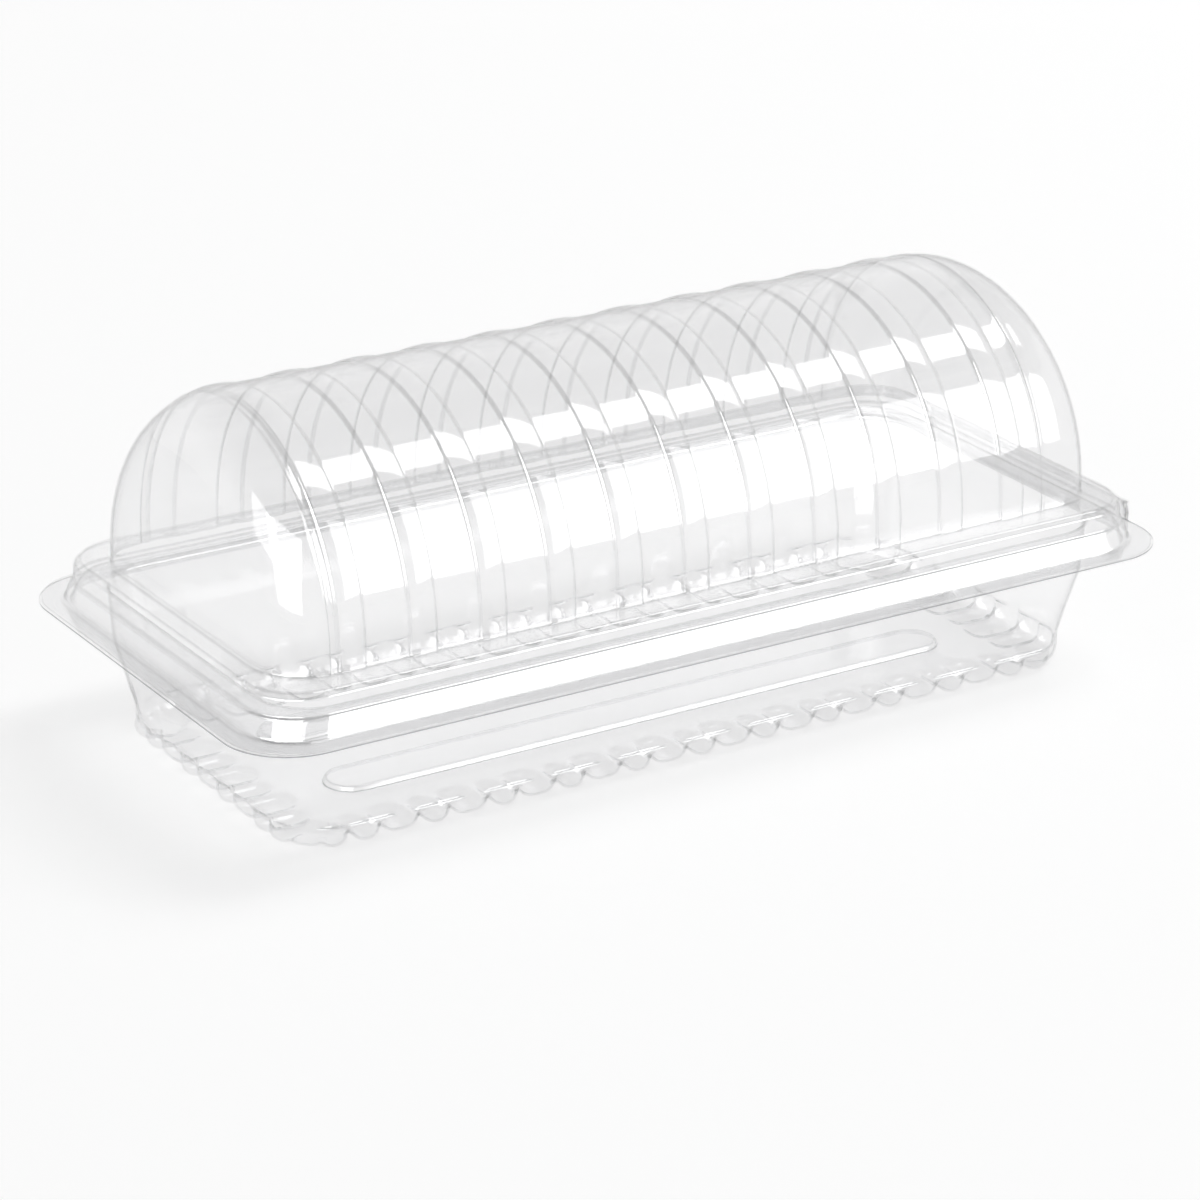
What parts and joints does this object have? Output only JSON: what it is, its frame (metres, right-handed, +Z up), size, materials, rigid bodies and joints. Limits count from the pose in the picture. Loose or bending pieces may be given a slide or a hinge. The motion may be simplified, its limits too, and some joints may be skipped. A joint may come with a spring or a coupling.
{
  "type": "clear hinged food pack",
  "caption": "Long clear clamshell pack with a ribbed barrel dome lid, a deep fluted tray and a fold hinge across one short end.",
  "frame": {"origin": "centre of the footprint, on the surface that the pack stands on", "axes": "+X along the pack towards the hinge, +Z up"},
  "size_m": [0.26, 0.1262, 0.0973],
  "materials": {
    "clear_tray": "clear glossy",
    "clear_lid": "clear glossy"
  },
  "bodies": {
    "tray_body": {"base_tray": "clear_tray"},
    "lid_body": {"lid": "clear_lid"}
  },
  "joints": [
    {"name": "lid_hinge", "type": "hinge", "parent": "tray_body", "child": "lid_body", "pos_m": [0.1295, 0, 0.0389], "axis": [0, 1, 0], "range_deg": [0, 150]}
  ]
}
